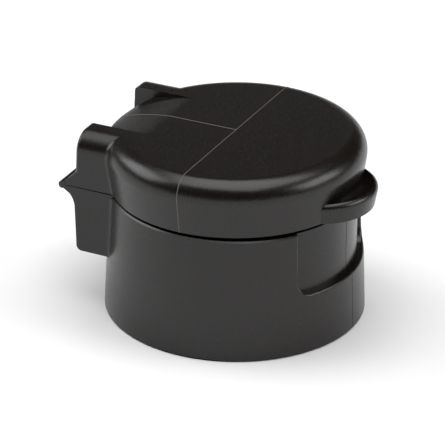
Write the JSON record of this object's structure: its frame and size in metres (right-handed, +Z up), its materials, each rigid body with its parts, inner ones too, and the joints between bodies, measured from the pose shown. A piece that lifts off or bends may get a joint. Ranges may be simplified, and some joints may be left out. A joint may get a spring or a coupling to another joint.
{
  "type": "flip-top pour cap",
  "caption": "Screw-on pouring cap for a wide-neck bottle: round moulded base with a finger recess, and a flip lid with a thumb tab on a living hinge.",
  "frame": {"origin": "centre of the neck socket at its mouth, in the plane of the bottom rim", "axes": "+Z up along the bottle's axis, +Y towards the hinge, -Y towards the thumb tab, X along the hinge line"},
  "size_m": [0.046, 0.0538, 0.0336],
  "materials": {
    "black_polypropylene": "satin moulded",
    "black_liner_plastic": "satin moulded",
    "foam_gasket": "matte foam",
    "grey_elastomer": "matte"
  },
  "bodies": {
    "base": {"outer_skirt": "black_polypropylene", "threaded_sleeve": "black_liner_plastic", "neck_gasket": "foam_gasket", "pour_insert": "black_liner_plastic", "breather_tube": "black_liner_plastic", "living_hinge": "black_polypropylene"},
    "lid": {"flip_lid": "black_polypropylene", "seal_holder": "black_liner_plastic", "mouth_seal": "grey_elastomer", "vent_seal": "grey_elastomer"}
  },
  "joints": [
    {"name": "lid_hinge", "type": "hinge", "parent": "base", "child": "lid", "pos_m": [0, 0.02695, 0.02285], "axis": [-1, 0, 0], "range_deg": [-0.6, 180]}
  ]
}
